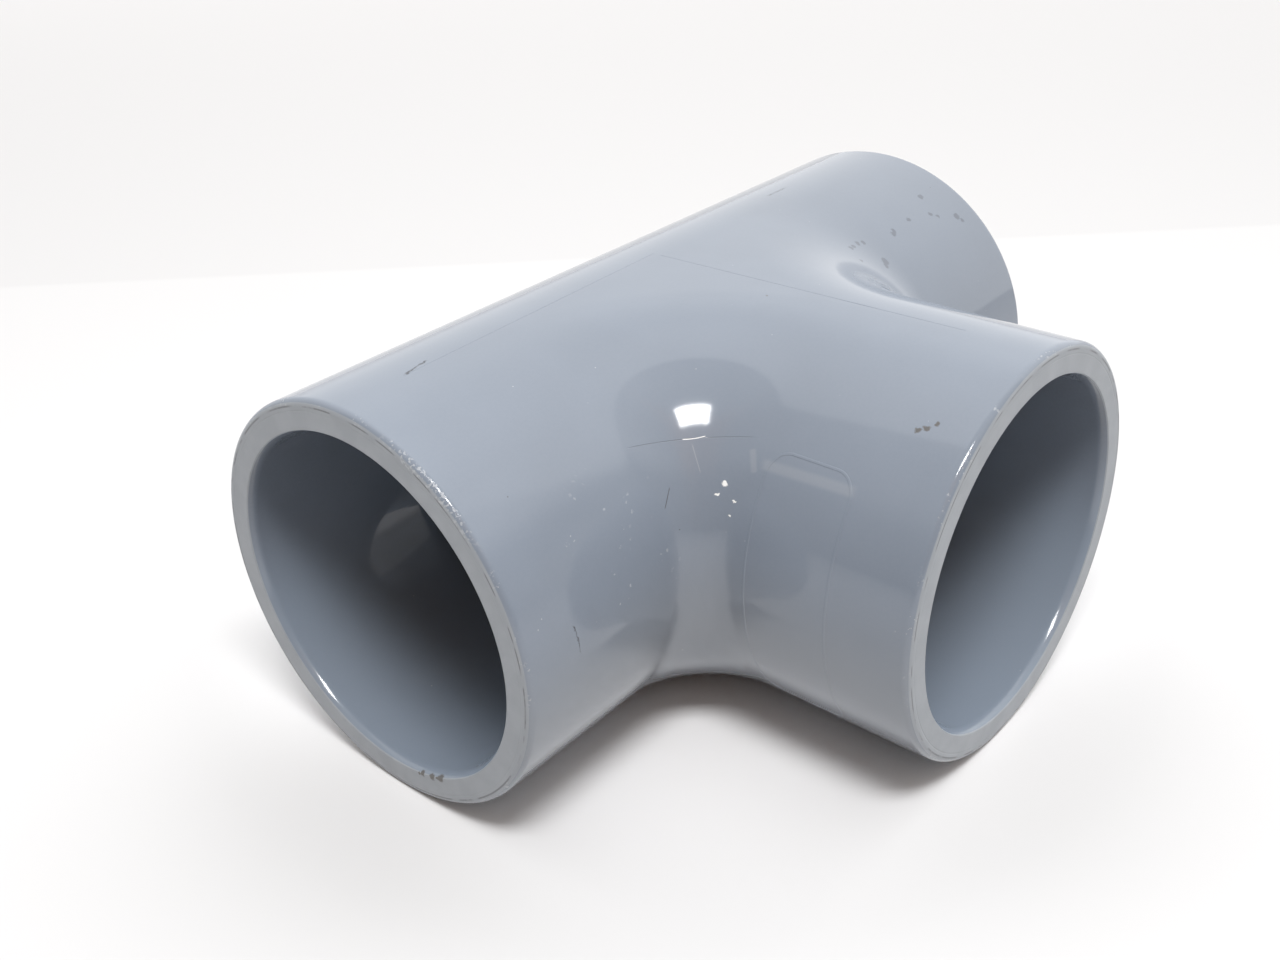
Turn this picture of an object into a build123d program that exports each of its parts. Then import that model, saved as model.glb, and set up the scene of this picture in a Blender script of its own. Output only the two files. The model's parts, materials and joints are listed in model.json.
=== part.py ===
from build123d import *

import os

# Socket-weld plastic pipe tee, 2 inch Schedule 80, moulded in one piece.
# Row frame, millimetres: the run lies along X, the branch points to -Y, +Z is up.
# The tee lies flat on its hubs, so the floor is z = 0, and the origin is the middle
# of the bounding box's base. The solids are built about the crossing of the two
# axes and moved there at the end.

# Driving dimensions.
HUB_RADIUS = 36.0
CENTRE_TO_FACE = 74.9
SOCKET_RADIUS = 30.315
SOCKET_DEPTH = 38.5
WATERWAY_RADIUS = 24.6
CROTCH_RADIUS = 7.0
CROTCH_STEP = 0.05
CROWN_STEP = 0.1
CROWN_OVERLAP = 0.5

# Edges of each socket: lead-in at the mouth, rounded rim, rounded shoulder.
MOUTH_RADIUS = 31.0
MOUTH_DEPTH = 1.8
RIM_ROUND = 1.2
SHOULDER_ROUND = 1.0

# Raised outline of the blank marking panel on the side of the branch hub.
PANEL_START = 45.0
PANEL_END = 60.2
PANEL_HEIGHT = 46.0
PANEL_CORNER = 3.5
PANEL_LINE = 0.55
PANEL_RAISED = 0.2

RUN_A = Vector(-1, 0, 0)
RUN_B = Vector(1, 0, 0)
BRANCH = Vector(0, -1, 0)
OUTWARD = (Align.CENTER, Align.CENTER, Align.MIN)


def rod(direction, radius, length):
    """Solid cylinder from the crossing of the axes, along one hub's axis."""
    return Plane(origin=(0, 0, 0), z_dir=direction) * Cylinder(radius, length, align=OUTWARD)


def hub(direction):
    """Solid hub from the crossing to its end face, with a rounded rim."""
    blank = rod(direction, HUB_RADIUS, CENTRE_TO_FACE)
    circles = blank.edges().filter_by(GeomType.CIRCLE)
    rim = circles.sort_by(Axis((0, 0, 0), direction))[-1]
    return fillet(rim, RIM_ROUND)


def crotch(side):
    """Quarter bend that fills the corner between the run and the branch.

    It is a little thinner than the hubs, so a fine crease shows where it meets them.
    """
    bend_radius = HUB_RADIUS + CROTCH_RADIUS
    quarter = Torus(bend_radius, HUB_RADIUS - CROTCH_STEP, major_angle=90, align=Align.NONE)
    placed = Pos(-bend_radius, -bend_radius, 0) * quarter
    return placed if side == RUN_A else mirror(placed, Plane.YZ)


def crown_web():
    """Flat web that fills the three-cornered grooves between the crests of the run and the bends."""
    bend_radius = HUB_RADIUS + CROTCH_RADIUS
    reach = bend_radius - CROWN_OVERLAP
    half_height = HUB_RADIUS - CROWN_STEP
    depth = bend_radius + CROWN_OVERLAP
    field = Pos(0, CROWN_OVERLAP - depth / 2) * Rectangle(2 * bend_radius, depth)
    field -= Pos(-bend_radius, -bend_radius) * Circle(reach)
    field -= Pos(bend_radius, -bend_radius) * Circle(reach)
    return extrude(field, half_height, both=True)


def socket(direction):
    """What one pipe socket removes: lead-in, wall, and the shoulder's rounded edge."""
    shoulder = CENTRE_TO_FACE - SOCKET_DEPTH
    lead_in_end = CENTRE_TO_FACE - MOUTH_DEPTH
    outside = CENTRE_TO_FACE + 1
    round_start = (WATERWAY_RADIUS, shoulder - SHOULDER_ROUND)
    round_end = (WATERWAY_RADIUS + SHOULDER_ROUND, shoulder)
    wall_start = (SOCKET_RADIUS, shoulder)
    wall_end = (SOCKET_RADIUS, lead_in_end)
    mouth = (MOUTH_RADIUS, CENTRE_TO_FACE)
    up = (0, 1)
    outline = [
        Line((0, round_start[1]), round_start),
        TangentArc(round_start, round_end, tangent=up),
        Line(round_end, wall_start),
        Line(wall_start, wall_end),
        TangentArc(wall_end, mouth, tangent=up),
        Line(mouth, (MOUTH_RADIUS, outside)),
        Line((MOUTH_RADIUS, outside), (0, outside)),
        Line((0, outside), (0, round_start[1])),
    ]
    turned = revolve(make_face(outline), Axis.Y)
    upright = Vector(0, 0, 1)
    return Plane(origin=(0, 0, 0), x_dir=upright, z_dir=upright.cross(direction)) * turned


def panel_outline():
    """Raised rounded rectangle on the branch hub, on the side that faces -X."""
    width = PANEL_END - PANEL_START
    outer = RectangleRounded(width, PANEL_HEIGHT, PANEL_CORNER)
    inner_width = width - 2 * PANEL_LINE
    inner_height = PANEL_HEIGHT - 2 * PANEL_LINE
    inner = RectangleRounded(inner_width, inner_height, PANEL_CORNER - PANEL_LINE)
    middle = Vector(0, -(PANEL_START + PANEL_END) / 2, 0)
    facing = Plane(origin=middle, x_dir=(0, 1, 0), z_dir=(-1, 0, 0))
    prism = extrude(facing * (outer - inner), HUB_RADIUS + 1)
    return prism & rod(BRANCH, HUB_RADIUS + PANEL_RAISED, CENTRE_TO_FACE)


def tee_body():
    """The whole fitting as one moulded solid, about the crossing of its axes."""
    outside = hub(RUN_A) + hub(RUN_B) + hub(BRANCH)
    outside += crotch(RUN_A) + crotch(RUN_B)
    outside += crown_web()
    outside += panel_outline()
    sockets = socket(RUN_A) + socket(RUN_B) + socket(BRANCH)
    waterway_length = CENTRE_TO_FACE - SOCKET_DEPTH
    waterways = rod(RUN_A, WATERWAY_RADIUS, waterway_length)
    waterways += rod(RUN_B, WATERWAY_RADIUS, waterway_length)
    waterways += rod(BRANCH, WATERWAY_RADIUS, waterway_length)
    return outside - sockets - waterways


crossing = Pos(0, (CENTRE_TO_FACE - HUB_RADIUS) / 2, HUB_RADIUS)
os.makedirs("parts", exist_ok=True)
body = crossing * tee_body()
export_step(body, "parts/tee_body.step")
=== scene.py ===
import json
import math

import bmesh
import bpy
from mathutils import Matrix, Vector


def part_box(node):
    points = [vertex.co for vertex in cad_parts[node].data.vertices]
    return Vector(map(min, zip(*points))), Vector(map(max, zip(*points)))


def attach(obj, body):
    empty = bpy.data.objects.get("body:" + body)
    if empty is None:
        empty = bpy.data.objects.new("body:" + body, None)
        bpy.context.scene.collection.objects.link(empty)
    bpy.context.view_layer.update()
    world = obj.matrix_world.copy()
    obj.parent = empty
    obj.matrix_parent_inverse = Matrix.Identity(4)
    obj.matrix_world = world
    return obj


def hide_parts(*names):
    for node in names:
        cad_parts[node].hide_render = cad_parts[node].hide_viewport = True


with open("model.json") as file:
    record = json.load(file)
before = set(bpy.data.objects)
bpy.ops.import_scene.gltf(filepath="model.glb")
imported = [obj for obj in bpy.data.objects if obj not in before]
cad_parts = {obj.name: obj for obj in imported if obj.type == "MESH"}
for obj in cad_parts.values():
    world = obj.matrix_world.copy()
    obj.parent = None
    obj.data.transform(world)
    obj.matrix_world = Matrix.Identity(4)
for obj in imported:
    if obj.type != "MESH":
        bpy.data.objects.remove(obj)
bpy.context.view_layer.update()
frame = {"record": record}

# Lengths are in metres. The small ones are written as so many MM.
MM = 0.001
BODY = "tee_body"
UP = Vector((0, 0, 1))
LEFT = Vector((-1, 0, 0))
RIGHT = Vector((1, 0, 0))
FRONT = Vector((0, -1, 0))

# The tee's own sizes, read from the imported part.
LOW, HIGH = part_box(BODY)
MOUNTS = {mount["name"]: mount for mount in frame["record"]["mounts"]}
HUB_RADIUS = (HIGH.z - LOW.z) / 2
CENTRE_TO_FACE = HIGH.x
CROSSING = Vector((0, HIGH.y - HUB_RADIUS, LOW.z + HUB_RADIUS))
SOCKET_RADIUS = MOUNTS["run_socket_a"]["dims"]["r_mm"] * MM

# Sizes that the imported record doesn't state, as the part's source has them.
SOCKET_DEPTH = 38.5 * MM
WATERWAY_RADIUS = 24.6 * MM
CROTCH_RADIUS = 7 * MM
MOUTH_RADIUS = 31 * MM
MOUTH_DEPTH = 1.8 * MM
RIM_ROUND = 1.2 * MM
SHOULDER_ROUND = 1 * MM
PANEL = {"start": 45 * MM, "end": 60.2 * MM, "height": 46 * MM, "corner": 3.5 * MM}

BEND_RADIUS = HUB_RADIUS + CROTCH_RADIUS
SHOULDER = CENTRE_TO_FACE - SOCKET_DEPTH

# How far the waterways' shared middle reaches from the crossing.
INNER_REACH = 30 * MM

# The fine raised lines: how wide, how high, and how deep their foot is sunk.
PANEL_LINE = {"width": 0.55 * MM, "height": 0.065 * MM}
WITNESS_LINE = {"width": 0.3 * MM, "height": 0.03 * MM}
LINE_FOOT = 0.05 * MM

# Where the witness lines end, in hub radii from the crossing, and how far they stray on the way.
RUN_LINE_END = 1.7
RUN_LINE_TURN = -3
BRANCH_LINE_END = 1.68
BRANCH_LINE_DRIFT = 1.5 * MM

# How finely the mesh is divided: round a quarter of a hub, along the run's middle, round a bend.
QUARTER = 40
ALONG_RUN = 64
ROUND_BEND = 40

# A short strip beside each rounded edge, which keeps the next surface's shading flat.
STRIP = 0.06 * MM

# Mesh points closer than this are joined.
SAME_POINT = 0.001 * MM

# The camera: its place, its angles in degrees, and its lens and sensor in the units Blender takes.
CAMERA_PLACE = Vector((-178.08, -132.31, 160.16)) * MM
CAMERA_AZIMUTH = -48.13
CAMERA_ELEVATION = 29.97
CAMERA_ROLL = 2.82
LENS = 38.33
SENSOR = 36

# Level directions that the stage is built on: away from the camera, and to its right.
AWAY = Vector((0.745, 0.667, 0))
TO_RIGHT = Vector((0.667, -0.745, 0))

# The key light, a small soft box: its direction, distance and apparent size from the tee, in degrees.
KEY_TOWARDS = Vector((-0.280, -0.337, 0.899)).normalized()
KEY_AIM = Vector((-35, -15, 50)) * MM
KEY_DISTANCE = 0.6
KEY_LONG_AXIS = Vector((0.65, -0.76, 0)).normalized()
KEY_LONG_ANGLE = 20.5
KEY_SHORT_ANGLE = 11
KEY_ENERGY = 2.68


def spread(start, end, steps):
    """Evenly spaced values from start to end, both included."""
    return [start + (end - start) * i / steps for i in range(steps + 1)]


def arc(centre, radius, start, end, steps):
    """Points of an arc in a hub's profile, as (distance along the hub, distance from its axis)."""
    angles = [math.radians(a) for a in spread(start, end, steps)]
    return [(centre[0] + radius * math.sin(a), centre[1] + radius * math.cos(a)) for a in angles]


def hub_profile():
    """A hub's outline from its foot, over the rim and face, into the socket and the waterway."""
    rim = CENTRE_TO_FACE - RIM_ROUND
    rim_middle = (rim, HUB_RADIUS - RIM_ROUND)
    wide = MOUTH_RADIUS - SOCKET_RADIUS
    lead_in = (wide * wide + MOUTH_DEPTH * MOUTH_DEPTH) / (2 * wide)
    lead_in_end = CENTRE_TO_FACE - MOUTH_DEPTH
    lead_in_turn = math.degrees(math.asin(MOUTH_DEPTH / lead_in))
    lead_in_middle = (lead_in_end, SOCKET_RADIUS + lead_in)
    round_start = SHOULDER - SHOULDER_ROUND
    shoulder_edge = WATERWAY_RADIUS + SHOULDER_ROUND
    face = spread(HUB_RADIUS - RIM_ROUND - STRIP, MOUTH_RADIUS + STRIP, 4)
    profile = [(u, HUB_RADIUS) for u in spread(BEND_RADIUS, rim - STRIP, 14)]
    profile += arc(rim_middle, RIM_ROUND, 0, 90, 8)
    profile += [(CENTRE_TO_FACE, r) for r in face]
    profile += arc(lead_in_middle, lead_in, 180 - lead_in_turn, 180, 8)
    profile += [(u, SOCKET_RADIUS) for u in spread(lead_in_end - STRIP, SHOULDER + STRIP, 16)]
    profile += [(SHOULDER, r) for r in spread(SOCKET_RADIUS, shoulder_edge + STRIP, 3)]
    profile += arc((round_start, shoulder_edge), SHOULDER_ROUND, 90, 180, 6)
    profile += [(u, WATERWAY_RADIUS) for u in spread(round_start - STRIP, INNER_REACH, 2)]
    return profile


def place(hub, along, turn, lift=0.0):
    """A point on a hub: along in hub radii from the crossing, turn in degrees from the top down."""
    t = math.radians(turn)
    radius = HUB_RADIUS + lift
    if hub == "run":
        return Vector((along * HUB_RADIUS, -radius * math.sin(t), radius * math.cos(t)))
    return Vector((-radius * math.sin(t), -along * HUB_RADIUS, radius * math.cos(t)))


def place_on_bend(side, bend, turn, lift=0.0):
    """A point on a crotch bend, in degrees: bend from the run to the branch, turn from the crest down."""
    b, t = math.radians(bend), math.radians(turn)
    radius = HUB_RADIUS + lift
    middle = Vector((side * BEND_RADIUS, -BEND_RADIUS, 0))
    outwards = Vector((-side * math.sin(b), math.cos(b), 0))
    return middle + outwards * (BEND_RADIUS - radius * math.sin(t)) + UP * radius * math.cos(t)


class Shell:
    """Collects grids of points and turns them into one closed mesh."""

    def __init__(self):
        self.mesh = bmesh.new()

    def grid(self, rows, closed=False):
        """Adds a grid of quads. A closed grid joins each row's end to its start."""
        made = [[self.mesh.verts.new(CROSSING + point) for point in row] for row in rows]
        for here, there in zip(made, made[1:]):
            count = len(here)
            for j in range(count if closed else count - 1):
                k = (j + 1) % count
                self.mesh.faces.new((here[j], here[k], there[k], there[j]))

    def hub(self, direction, side):
        """One hub, turned about its axis."""
        turns = [math.tau * i / (4 * QUARTER) for i in range(4 * QUARTER)]
        self.grid([
            [direction * along + (UP * math.cos(a) + side * math.sin(a)) * radius for a in turns]
            for along, radius in hub_profile()
        ], closed=True)

    def run_back(self, reach, radius):
        """The half of the run's middle that faces away from the branch."""
        turns = spread(0, math.pi, 2 * QUARTER)
        self.grid([
            [Vector((x, radius * math.sin(a), radius * math.cos(a))) for a in turns]
            for x in spread(-reach, reach, ALONG_RUN)
        ])

    def crotch(self, side):
        """The quarter bend between the run and the branch."""
        turns = spread(0, 180, 2 * QUARTER)
        self.grid([
            [place_on_bend(side, bend, turn) for turn in turns]
            for bend in spread(0, 90, ROUND_BEND)
        ])

    def crown(self, side):
        """The flat three-cornered field between the crests of the run and of the two bends."""
        rows = []
        for bend in spread(0, math.pi / 2, ROUND_BEND):
            half = BEND_RADIUS * (1 - math.sin(bend))
            y = -BEND_RADIUS * (1 - math.cos(bend))
            rows.append([Vector((x, y, side * HUB_RADIUS)) for x in spread(-half, half, ALONG_RUN)])
        self.grid(rows)

    def waterway_corner(self, side):
        """Where the branch's waterway meets the run's, along a mitre."""
        run_rows, branch_rows = [], []
        for a in spread(0, math.pi, 2 * QUARTER):
            across, z = WATERWAY_RADIUS * math.sin(a), WATERWAY_RADIUS * math.cos(a)
            run_xs = spread(INNER_REACH, across, ALONG_RUN // 2)
            branch_ys = spread(across, INNER_REACH, ALONG_RUN // 2)
            run_rows.append([Vector((side * x, -across, z)) for x in run_xs])
            branch_rows.append([Vector((side * across, -y, z)) for y in branch_ys])
        self.grid(run_rows)
        self.grid(branch_rows)

    def ridge(self, points, normals, line, closed=False):
        """A low raised line that follows points on the surface, with its foot just under it."""
        count = len(points)
        width, top = line["width"], line["height"]
        section = [(-0.5, -LINE_FOOT), (-0.32, 0.8 * top), (0, top), (0.32, 0.8 * top), (0.5, -LINE_FOOT)]
        rows = []
        for i, (point, normal) in enumerate(zip(points, normals)):
            before = points[i - 1] if closed or i else point
            after = points[(i + 1) % count] if closed or i + 1 < count else point
            sideways = (after - before).normalized().cross(normal)
            rows.append([point + sideways * width * s + normal * h for s, h in section])
        if closed:
            rows.append(rows[0])
        self.grid(rows, closed=True)
        if not closed:
            for row in (rows[0], rows[-1]):
                self.mesh.faces.new([self.mesh.verts.new(CROSSING + point) for point in row])

    def finish(self, name):
        """Joins what touches and makes the object."""
        bmesh.ops.remove_doubles(self.mesh, verts=self.mesh.verts, dist=SAME_POINT)
        bmesh.ops.recalc_face_normals(self.mesh, faces=self.mesh.faces)
        data = bpy.data.meshes.new(name)
        self.mesh.to_mesh(data)
        self.mesh.free()
        data.shade_smooth()
        data.set_sharp_from_angle(angle=math.radians(30))
        piece = bpy.data.objects.new(name, data)
        bpy.context.scene.collection.objects.link(piece)
        return piece


def panel_outline(shell):
    """Raised outline of the blank marking panel on the branch, on the side that faces the left hub."""
    middle = -(PANEL["start"] + PANEL["end"]) / 2
    half_wide = (PANEL["end"] - PANEL["start"]) / 2 - PANEL["corner"]
    half_high = PANEL["height"] / 2 - PANEL["corner"]
    flat = []
    for right, up, start in [(1, 1, 0), (-1, 1, 90), (-1, -1, 180), (1, -1, 270)]:
        for a in spread(start, start + 90, 8):
            turn = math.radians(a)
            flat.append((
                right * half_wide + PANEL["corner"] * math.cos(turn),
                up * half_high + PANEL["corner"] * math.sin(turn),
            ))
    dense = []
    for (y0, z0), (y1, z1) in zip(flat, flat[1:] + flat[:1]):
        steps = max(1, round(math.hypot(y1 - y0, z1 - z0) / (1.2 * MM)))
        dense += [(y0 + (y1 - y0) * i / steps, z0 + (z1 - z0) * i / steps) for i in range(steps)]
    normals = [Vector((-math.sqrt(HUB_RADIUS ** 2 - z * z), 0, z)).normalized() for _, z in dense]
    points = [
        normal * HUB_RADIUS + Vector((0, middle + y, 0))
        for normal, (y, _) in zip(normals, dense)
    ]
    shell.ridge(points, normals, PANEL_LINE, closed=True)


def witness_lines(shell):
    """The two fine lines along the crowns, one on the run and one on the branch."""
    run_points, run_normals, branch_points, branch_normals = [], [], [], []
    for share in spread(0, 1, 48):
        turn = RUN_LINE_TURN * (1 - share)
        run_points.append(place("run", -RUN_LINE_END * share, turn))
        run_normals.append(place("run", 0, turn).normalized())
        along = BRANCH_LINE_END * share * HUB_RADIUS
        sideways = BRANCH_LINE_DRIFT * share
        on_cylinder = along > BEND_RADIUS
        drop = HUB_RADIUS - math.sqrt(HUB_RADIUS ** 2 - sideways ** 2) if on_cylinder else 0
        branch_points.append(Vector((sideways, -along, HUB_RADIUS - drop)))
        branch_normals.append(UP)
    shell.ridge(run_points, run_normals, WITNESS_LINE)
    shell.ridge(branch_points, branch_normals, WITNESS_LINE)


def tee():
    """The whole fitting as one closed mesh, plus the fine raised lines that the mould leaves on it."""
    shell = Shell()
    shell.hub(LEFT, FRONT)
    shell.hub(RIGHT, FRONT)
    shell.hub(FRONT, RIGHT)
    shell.run_back(BEND_RADIUS, HUB_RADIUS)
    shell.run_back(INNER_REACH, WATERWAY_RADIUS)
    for side in (-1, 1):
        shell.crotch(side)
        shell.crown(side)
        shell.waterway_corner(side)
    panel_outline(shell)
    witness_lines(shell)
    piece = shell.finish("tee_moulding")
    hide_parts(BODY)
    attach(piece, "root")
    return piece


class Nodes:
    """Short ways to add shader nodes. A value is a number, a vector or another node's output."""

    def __init__(self, tree):
        self.tree = tree

    def add(self, kind, values=(), **settings):
        """Adds a node with its settings, and fills or links its inputs."""
        node = self.tree.nodes.new(kind)
        for name, setting in settings.items():
            setattr(node, name, setting)
        for key, value in dict(values).items():
            if isinstance(value, bpy.types.NodeSocket):
                self.tree.links.new(value, node.inputs[key])
            else:
                node.inputs[key].default_value = value
        return node

    def math(self, operation, first, second=0.0):
        return self.add("ShaderNodeMath", {0: first, 1: second}, operation=operation).outputs[0]

    def times(self, first, second):
        return self.math("MULTIPLY", first, second)

    def plus(self, first, second):
        return self.math("ADD", first, second)

    def off(self, value, middle):
        """How far a value is from a middle one."""
        return self.math("ABSOLUTE", self.math("SUBTRACT", value, middle))

    def total(self, values):
        """The largest of several masks."""
        result = values[0]
        for value in values[1:]:
            result = self.math("MAXIMUM", result, value)
        return result

    def product(self, values):
        result = values[0]
        for value in values[1:]:
            result = self.times(result, value)
        return result

    def vector(self, operation, first, second):
        return self.add("ShaderNodeVectorMath", {0: first, 1: second}, operation=operation)

    def dot(self, vector, axis):
        return self.vector("DOT_PRODUCT", vector, axis).outputs["Value"]

    def distance(self, vector, point):
        return self.vector("DISTANCE", vector, point).outputs["Value"]

    def scaled(self, vector, scale):
        node = self.add("ShaderNodeVectorMath", {0: vector, "Scale": scale}, operation="SCALE")
        return node.outputs[0]

    def length(self, *parts):
        return self.math("SQRT", self.plus(*[self.times(part, part) for part in parts]))

    def ramp(self, value, start, end, low=0.0, high=1.0):
        """A smooth step from low at start to high at end."""
        values = {"Value": value, "From Min": start, "From Max": end, "To Min": low, "To Max": high}
        return self.add("ShaderNodeMapRange", values, interpolation_type="SMOOTHSTEP").outputs["Result"]

    def noise(self, vector, size, detail=2.0):
        """Noise from 0 to 1 whose features are about size across."""
        values = {"Vector": vector, "Scale": 1 / size, "Detail": detail, "Roughness": 0.5}
        return self.add("ShaderNodeTexNoise", values).outputs

    def cells(self, vector, size):
        """One point in each cell about size across, with its distance and its own colour."""
        return self.add("ShaderNodeTexVoronoi", {"Vector": vector, "Scale": 1 / size}).outputs

    def mix(self, factor, first, second):
        return self.add("ShaderNodeMix", {0: factor, 2: first, 3: second}, data_type="FLOAT").outputs[0]

    def tint(self, factor, first, second):
        return self.add("ShaderNodeMix", {0: factor, 6: first, 7: second}, data_type="RGBA").outputs[2]


class Skin:
    """Where a point of the plastic is, as shader values: coordinates, zones and shared noise."""

    def __init__(self, nodes):
        self.nodes = nodes
        self.position = nodes.add("ShaderNodeTexCoord").outputs["Object"]
        local = nodes.vector("SUBTRACT", self.position, CROSSING).outputs[0]
        x, y, self.level = list(nodes.add("ShaderNodeSeparateXYZ", {0: local}).outputs)
        along_run = nodes.math("ABSOLUTE", x)
        along_branch = nodes.times(y, -1)
        on_branch = nodes.math("GREATER_THAN", along_branch, along_run)
        self.along = nodes.math("MAXIMUM", along_run, along_branch)
        self.from_axis = nodes.mix(on_branch, nodes.length(y, self.level), nodes.length(x, self.level))
        self.find_zones()
        self.make_noise()

    def before_face(self, start, end, low=0.0, high=1.0):
        """A ramp between two distances before the end face, in MM."""
        start, end = CENTRE_TO_FACE - start * MM, CENTRE_TO_FACE - end * MM
        return self.nodes.ramp(self.along, start, end, low, high)

    def find_zones(self):
        """Masks: end faces, their rounded rims, the sockets and the outside, and a fine ring on each face.

        A socket has painted shade far in and high up, and painted light low down. The outside has painted
        floor bounce low down.
        """
        nodes, level = self.nodes, self.level
        self.face = self.before_face(0.3, 0.05)
        outer_edge = nodes.ramp(self.from_axis, HUB_RADIUS - 1.4 * MM, HUB_RADIUS - 1.1 * MM)
        self.rim = nodes.times(self.before_face(1.1, 0.8), outer_edge)
        self.inside = nodes.ramp(self.from_axis, SOCKET_RADIUS + 1.5 * MM, SOCKET_RADIUS + 0.5 * MM)
        # Painted shade: a socket's colour is darkened far in and, more strongly, high up inside, where
        # less light reaches.
        far_in = self.before_face(10, 35, 0, 0.2)
        high_up = nodes.ramp(level, -5 * MM, 25 * MM, 0, 0.95)
        self.painted_socket_shade = nodes.times(self.inside, nodes.math("MAXIMUM", far_in, high_up))
        # Painted light: a socket's low part is painted paler and bluer, as if lit through the mouth.
        self.clean = nodes.times(self.inside, nodes.ramp(level, 5 * MM, -15 * MM))
        outside = nodes.math("SUBTRACT", 1.0, nodes.math("MAXIMUM", self.inside, self.face))
        # Painted floor bounce: the outside is painted paler and warmer low down.
        self.painted_floor_bounce = nodes.times(outside, nodes.ramp(level, 10 * MM, -10 * MM, 0, 0.2))
        off_ring = nodes.off(self.from_axis, HUB_RADIUS - 1.9 * MM)
        self.ring = nodes.times(nodes.ramp(off_ring, 0.16 * MM, 0.04 * MM), self.face)

    def make_noise(self):
        """Noise that several things share, and a position with ragged edges."""
        nodes = self.nodes
        self.cloudy = nodes.noise(self.position, 22 * MM, 3)[0]
        self.patchy = nodes.noise(self.position, 5 * MM, 3)[0]
        self.grain = nodes.noise(self.position, 0.5 * MM, 2)[0]
        wobble = nodes.vector("SUBTRACT", nodes.noise(self.position, 0.7 * MM, 3)[1], (0.5, 0.5, 0.5))
        shift = nodes.scaled(wobble.outputs[0], 1.1 * MM)
        self.ragged = nodes.vector("ADD", self.position, shift).outputs[0]

    def near(self, point, outer, inner):
        """A round patch about a point on the surface, fading out from inner to outer, in MM."""
        away = self.nodes.distance(self.position, CROSSING + point)
        return self.nodes.ramp(away, outer * MM, inner * MM)

    def spots(self, position, marks):
        """Round marks: each is (point on the surface, radius)."""
        nodes = self.nodes
        return nodes.total([
            nodes.ramp(nodes.distance(position, CROSSING + point), radius, 0.55 * radius)
            for point, radius in marks
        ])

    def scratch(self, position, points, width):
        """A thin mark in the plane of three points, from the first to the last, with its width in MM."""
        nodes = self.nodes
        start, through, end = points
        normal = (end - start).cross(through - start).normalized()
        middle = CROSSING + (start + end) / 2
        half = (end - start).length / 2
        off_plane = nodes.dot(nodes.vector("SUBTRACT", position, middle).outputs[0], normal)
        near_plane = nodes.ramp(nodes.math("ABSOLUTE", off_plane), width * MM, 0.3 * width * MM)
        near_middle = nodes.ramp(nodes.distance(position, middle), half, 0.8 * half)
        return nodes.times(near_plane, near_middle)


def run_mark(along, turn, radius):
    """A round mark on the run, with its radius in MM."""
    return place("run", along, turn), radius * MM


def branch_mark(along, turn, radius):
    """The same on the branch."""
    return place("branch", along, turn), radius * MM


def bend_mark(side, bend, turn, radius):
    """The same on a crotch bend."""
    return place_on_bend(side, bend, turn), radius * MM


def mouth_mark(turn, radius):
    """The same on the edge of the left hub's mouth, with turn in radians from the top."""
    across, up = math.sin(turn) * MOUTH_RADIUS, math.cos(turn) * MOUTH_RADIUS
    return Vector((-CENTRE_TO_FACE, -across, up)), radius * MM


def run_line(start, through, end):
    """Three points of a scratch on the run, each from (along, turn).

    The middle one is lifted off the surface, so that the scratch's plane stands upright on it.
    """
    return place("run", *start), place("run", *through, MM), place("run", *end)


def branch_line(start, through, end):
    """The same on the branch."""
    return place("branch", *start), place("branch", *through, MM), place("branch", *end)


def bend_line(start, through, end, lift=0.0):
    """The same on the left crotch bend, from (bend, turn). Without a lift it follows a curved path."""
    return place_on_bend(-1, *start), place_on_bend(-1, *through, lift), place_on_bend(-1, *end)


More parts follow.
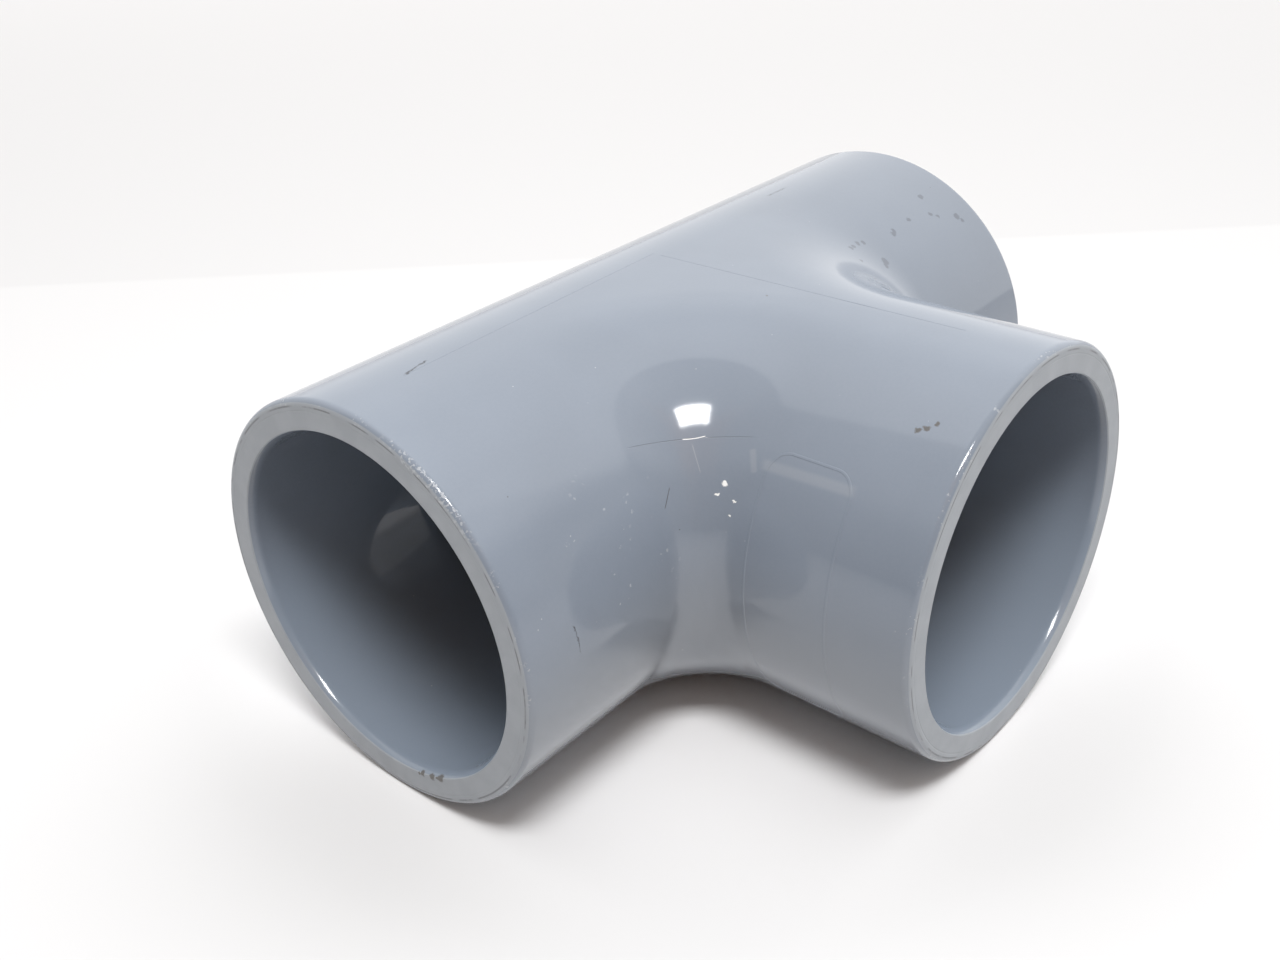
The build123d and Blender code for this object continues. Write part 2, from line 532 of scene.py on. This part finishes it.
def single_marks(skin):
    """Masks of the handling marks that stand out one by one, and of a painted highlight, a glint along a
    scratch.
    """
    nodes, position, ragged = skin.nodes, skin.position, skin.ragged
    smudges = skin.spots(ragged, [
        branch_mark(1.82, 35, 0.6), branch_mark(1.85, 34, 0.65), branch_mark(1.88, 32, 0.5),
        run_mark(0.14, 12, 0.35), run_mark(-0.12, 26, 0.3), bend_mark(-1, 67, 2, 0.3),
    ])
    grime = skin.spots(ragged, [
        mouth_mark(2.74, 0.9), mouth_mark(2.77, 0.5), mouth_mark(2.82, 0.8), mouth_mark(2.9, 0.7),
        mouth_mark(2.93, 0.4),
    ])
    faint_smudges = skin.spots(ragged, [
        run_mark(1.31, 34, 0.85), run_mark(1.33, 33, 0.7), run_mark(1.51, 32, 0.7),
        run_mark(1.77, 27, 0.9), run_mark(1.70, 34, 0.7), run_mark(1.74, 36, 0.6),
        run_mark(1.88, 39, 1.0), run_mark(1.9, 41, 0.7), bend_mark(1, 25, 29, 0.8),
        bend_mark(1, 22, 29.5, 0.7), bend_mark(1, 17, 30, 0.8), bend_mark(1, 13, 31, 0.7),
        bend_mark(1, 32, 33, 0.6), bend_mark(1, 13, 40, 1.2), bend_mark(1, 16, 41, 0.8),
    ])
    dark_scratches = nodes.total([
        skin.scratch(ragged, run_line((-1.7, 0), (-1.6, -1), (-1.54, -2)), 0.22),
        skin.scratch(position, bend_line((24, 62), (19, 65), (14, 67), MM), 0.1),
        skin.scratch(ragged, run_line((-1.79, 79), (-1.78, 83), (-1.77, 88)), 0.08),
        skin.scratch(ragged, run_line((1.05, -6), (1.14, -6), (1.24, -6)), 0.15),
    ])
    # Painted highlight: the key light's glint along a scratch, painted white.
    glint = skin.scratch(position, bend_line((39, 50.9), (46, 51), (54, 50.4)), 0.06)
    white_spots = skin.spots(ragged, [
        bend_mark(-1, 69, 62, 0.62), bend_mark(-1, 63, 65, 0.36), bend_mark(-1, 79, 66, 0.36),
        bend_mark(-1, 77, 70, 0.2),
    ])
    rubbed = nodes.total([
        skin.scratch(position, branch_line((1.2, 55), (1.44, 55.5), (1.7, 54)), 1.1),
        skin.scratch(position, branch_line((1.15, 52), (1.18, 55), (1.2, 58)), 0.8),
        skin.scratch(position, bend_line((45, 52), (47, 56), (50, 60), MM), 0.16),
    ])
    return {
        "smudges": nodes.total([smudges, grime]),
        "faint_smudges": faint_smudges,
        "dark_scratches": dark_scratches,
        "hair": skin.scratch(position, bend_line((2, 49), (45, 51), (86, 49)), 0.09),
        "white_specks_and_glint": nodes.total([glint, white_spots]),
        "rubbed": rubbed,
    }


def repeated_marks(skin):
    """Masks of the scuffs that repeat: specks, dust, nicks round the rims, and a painted dark reflection,
    a dark line inside each rim.
    """
    nodes, position, patchy, grain = skin.nodes, skin.position, skin.patchy, skin.grain
    dots = nodes.ramp(nodes.cells(skin.ragged, 1.5 * MM)["Distance"], 0.24, 0.1)
    flank = skin.near(place("run", -1.45, 70), 17, 6)
    sparse = nodes.cells(position, 9 * MM)
    few = nodes.math("GREATER_THAN", nodes.dot(sparse["Color"], (1, 0, 0)), 0.6)
    flecks = nodes.cells(position, 3.5 * MM)
    many = nodes.math("GREATER_THAN", nodes.dot(flecks["Color"], (0, 1, 0)), 0.55)
    nicks = nodes.product([skin.rim, nodes.ramp(grain, 0.6, 0.68), nodes.ramp(patchy, 0.47, 0.6)])
    worn = skin.near(place("run", -2.05, 34), 13, 4)
    worn_nicks = nodes.product([skin.rim, worn, nodes.ramp(grain, 0.53, 0.62)])
    off_edge = nodes.off(skin.from_axis, HUB_RADIUS - RIM_ROUND + 0.05 * MM)
    return {
        "flank_specks": nodes.product([dots, flank, nodes.ramp(patchy, 0.52, 0.6)]),
        "dirt_specks": nodes.product([nodes.ramp(sparse["Distance"], 0.022, 0.012), few, 0.6]),
        "dust": nodes.product([
            nodes.ramp(flecks["Distance"], 0.045, 0.02), many, nodes.ramp(patchy, 0.4, 0.6)
        ]),
        "nicks": nodes.total([nicks, worn_nicks]),
        # Painted dark reflection of the rim's rounding, as a dark line on the face by each rim.
        "edge_reflection": nodes.product([
            nodes.ramp(off_edge, 0.2 * MM, 0.08 * MM),
            skin.before_face(0.4, 0.1),
            nodes.ramp(patchy, 0.4, 0.55),
        ]),
    }


def colour(skin, marks):
    """Bluish grey, paler and duller on the faces, with painted shade deep and high in the sockets, painted
    light low in them and low outside, and the marks laid over it, a painted glint and a painted dark
    reflection among them.
    """
    nodes = skin.nodes
    dark_marks = nodes.total([marks["dark_scratches"], marks["dirt_specks"]])
    grain = nodes.ramp(skin.grain, 0.35, 0.65)
    clouds = nodes.ramp(skin.cloudy, 0.3, 0.7)
    patches = nodes.ramp(skin.patchy, 0.35, 0.65)
    base = nodes.tint(clouds, (0.208, 0.241, 0.292, 1), (0.220, 0.255, 0.309, 1))
    face = nodes.tint(patches, (0.318, 0.341, 0.368, 1), (0.350, 0.374, 0.401, 1))
    layers = [
        # Painted floor bounce, paler and warmer low on the outside.
        (skin.painted_floor_bounce, 1.0, (0.50, 0.49, 0.46, 1)),
        # Painted light low in the sockets.
        (skin.clean, 1.0, (0.240, 0.287, 0.352, 1)),
        # Painted shade deep and high in the sockets.
        (skin.painted_socket_shade, 1.0, (0.137, 0.155, 0.184, 1)),
        (skin.face, 0.9, face),
        (grain, 0.05, (0.30, 0.32, 0.36, 1)),
        (marks["rubbed"], 0.14, (0.5, 0.51, 0.52, 1)),
        (marks["flank_specks"], 0.3, (0.6, 0.62, 0.64, 1)),
        (marks["nicks"], 0.4, (0.6, 0.62, 0.64, 1)),
        # Painted dark reflection: a dark line where the rim's rounding meets the face.
        (marks["edge_reflection"], 0.6, (0.07, 0.07, 0.075, 1)),
        (dark_marks, 0.75, (0.05, 0.05, 0.055, 1)),
        (marks["smudges"], 0.75, (0.075, 0.06, 0.04, 1)),
        (marks["faint_smudges"], 0.55, (0.08, 0.09, 0.115, 1)),
        (marks["dust"], 0.35, (0.7, 0.72, 0.74, 1)),
        (marks["hair"], 0.35, (0.08, 0.085, 0.1, 1)),
        # Real white specks, with a painted highlight: a glint along a scratch.
        (marks["white_specks_and_glint"], 0.95, (0.95, 0.95, 0.93, 1)),
    ]
    for mask, strength, over in layers:
        base = nodes.tint(nodes.times(mask, strength), base, over)
    return base


def roughness(skin, marks):
    """Glossy outside and deep in the sockets, matt on the faces and where something rubbed."""
    nodes = skin.nodes
    socket = skin.before_face(8, 2, 0.05, 0.14)
    matt = nodes.total([marks[name] for name in (
        "smudges", "dark_scratches", "white_specks_and_glint", "nicks", "flank_specks",
    )])
    rough = nodes.mix(nodes.ramp(skin.cloudy, 0.35, 0.75), 0.07, 0.1)
    rough = nodes.mix(skin.inside, rough, socket)
    rough = nodes.mix(skin.face, rough, 0.48)
    rough = nodes.mix(nodes.times(marks["rubbed"], 0.7), rough, 0.35)
    return nodes.mix(matt, rough, 0.5)


def relief(skin, marks):
    """A slightly wavy skin, fine grain on the faces, and what the marks take away."""
    nodes = skin.nodes
    waves = nodes.times(skin.cloudy, 0.03 * MM)
    grain = nodes.times(skin.grain, nodes.mix(skin.face, 0.0006 * MM, 0.012 * MM))
    cut = nodes.total([marks["nicks"], marks["dark_scratches"], marks["hair"], skin.ring])
    height = nodes.plus(nodes.plus(waves, grain), nodes.times(cut, -0.03 * MM))
    return nodes.add("ShaderNodeBump", {"Strength": 1.0, "Distance": 1.0, "Height": height}).outputs[0]


def plastic():
    """Grey moulded plastic: glossy outside and in the sockets, matt on the faces, and handled, with
    painted light and shade in its colour.
    """
    material = bpy.data.materials.new("grey_cpvc")
    material.use_nodes = True
    tree = material.node_tree
    skin = Skin(Nodes(tree))
    marks = {**single_marks(skin), **repeated_marks(skin)}
    shader = tree.nodes["Principled BSDF"]
    shader.inputs["IOR"].default_value = 1.53
    tree.links.new(colour(skin, marks), shader.inputs["Base Color"])
    tree.links.new(roughness(skin, marks), shader.inputs["Roughness"])
    tree.links.new(relief(skin, marks), shader.inputs["Normal"])
    return material


def camera():
    """Looks at the tee from in front and to the left, from about 30 degrees up."""
    azimuth, elevation, roll = (
        math.radians(a) for a in (CAMERA_AZIMUTH, CAMERA_ELEVATION, CAMERA_ROLL)
    )
    back = Vector((
        math.sin(azimuth) * math.cos(elevation),
        -math.cos(azimuth) * math.cos(elevation),
        math.sin(elevation),
    ))
    data = bpy.data.cameras.new("camera")
    data.lens = LENS
    data.sensor_width = SENSOR
    data.dof.use_dof = False
    eye = bpy.data.objects.new("camera", data)
    bpy.context.scene.collection.objects.link(eye)
    eye.rotation_mode = "QUATERNION"
    level = (-back).to_track_quat("-Z", "Y")
    eye.rotation_quaternion = level @ Matrix.Rotation(-roll, 4, "Z").to_quaternion()
    eye.location = CAMERA_PLACE
    bpy.context.scene.camera = eye


def floor():
    """A pale floor, darker towards the camera, painted lighter round the tee to lift its shadow, and a
    little darker past a line behind it.
    """
    bpy.ops.mesh.primitive_plane_add(size=6.0, location=(0, 0, LOW.z))
    plane = bpy.context.object
    plane.name = "floor"
    material = bpy.data.materials.new("floor_white")
    material.use_nodes = True
    nodes = Nodes(material.node_tree)
    position = nodes.add("ShaderNodeTexCoord").outputs["Object"]
    depth = nodes.dot(position, AWAY)
    tone = nodes.plus(nodes.times(depth, 0.28), 0.72)
    past_line = nodes.times(nodes.ramp(depth, 202 * MM, 206 * MM), 0.035)
    tone = nodes.math("MINIMUM", nodes.math("SUBTRACT", tone, past_line), 0.9)
    # Painted light: the floor is painted lighter round the tee, which lifts the shadow that the tee casts
    # there.
    near = nodes.ramp(nodes.distance(position, (CROSSING.x, CROSSING.y, 0)), 98 * MM, 52 * MM)
    tone = nodes.plus(tone, nodes.times(near, 0.27))
    shader = material.node_tree.nodes["Principled BSDF"]
    shader.inputs["Roughness"].default_value = 0.7
    shader.inputs["Specular IOR Level"].default_value = 0.2
    white = nodes.tint(tone, (0, 0, 0, 1), (0.995, 1, 1.01, 1))
    material.node_tree.links.new(white, shader.inputs["Base Color"])
    plane.data.materials.append(material)


def key_light():
    """The small soft box whose reflection is the bright mark in the crotch."""
    data = bpy.data.lights.new("key", "AREA")
    data.shape = "RECTANGLE"
    data.size = 2 * KEY_DISTANCE * math.tan(math.radians(KEY_LONG_ANGLE / 2))
    data.size_y = 2 * KEY_DISTANCE * math.tan(math.radians(KEY_SHORT_ANGLE / 2))
    data.energy = KEY_ENERGY
    lamp = bpy.data.objects.new("key", data)
    bpy.context.scene.collection.objects.link(lamp)
    across = (KEY_LONG_AXIS - KEY_LONG_AXIS.dot(KEY_TOWARDS) * KEY_TOWARDS).normalized()
    up = KEY_TOWARDS.cross(across)
    lamp.matrix_world = Matrix((across, up, KEY_TOWARDS)).transposed().to_4x4()
    lamp.location = KEY_AIM + KEY_TOWARDS * KEY_DISTANCE


def backdrop_light(nodes, right, up):
    """White behind the tee: brighter to the right, in a band half way up, and overhead."""
    band = nodes.times(nodes.ramp(up, 0.4, 0.6), nodes.ramp(up, 0.95, 0.8))
    light = nodes.plus(nodes.times(right, 0.3), nodes.times(band, 0.22))
    light = nodes.plus(light, nodes.ramp(up, 0.78, 0.95, 1.3, 1.9))
    return nodes.add("ShaderNodeCombineXYZ", {0: light, 1: light, 2: light}).outputs[0]


def room_light(nodes, away, right, up):
    """The room in front of the tee: dim near the horizon, and warm in the middle."""
    sideways = nodes.math("ABSOLUTE", right)
    light = nodes.plus(nodes.times(sideways, 0.58), nodes.times(right, 0.4))
    light = nodes.plus(light, nodes.times(away, 0.42))
    light = nodes.math("MAXIMUM", nodes.plus(light, nodes.ramp(up, 0.78, 0.95, 0.5, 0.78)), 0.0)
    light = nodes.times(light, nodes.ramp(up, 0.38, 0.62, 0.27, 1.0))
    neutral = nodes.math("MAXIMUM", nodes.ramp(sideways, 0.1, 0.5), nodes.ramp(up, 0.75, 0.92))
    warmth = nodes.tint(neutral, (1.9, 0.95, 0.3, 1), (1, 1, 1, 1))
    return nodes.scaled(warmth, light)


def surroundings():
    """A white backdrop that reaches overhead behind the tee, and a dimmer, warmer room in front."""
    scene = bpy.context.scene
    scene.world = bpy.data.worlds.new("studio")
    scene.world.use_nodes = True
    scene.view_settings.view_transform = "Standard"
    tree = scene.world.node_tree
    nodes = Nodes(tree)
    direction = nodes.add("ShaderNodeTexCoord").outputs["Generated"]
    away, right, up = (nodes.dot(direction, axis) for axis in (AWAY, TO_RIGHT, UP))
    past_edge = nodes.math("SUBTRACT", away, nodes.times(up, 0.13))
    softness = nodes.ramp(up, 0.4, 0.1, 0.012, 0.3)
    behind = nodes.ramp(nodes.math("DIVIDE", past_edge, softness), -1.0, 1.0)
    backdrop = backdrop_light(nodes, right, up)
    room = room_light(nodes, away, right, up)
    background = tree.nodes["Background"]
    background.inputs["Strength"].default_value = 0.97
    tree.links.new(nodes.tint(behind, room, backdrop), background.inputs["Color"])


camera()
floor()
key_light()
surroundings()
piece = tee()
piece.data.materials.append(plastic())
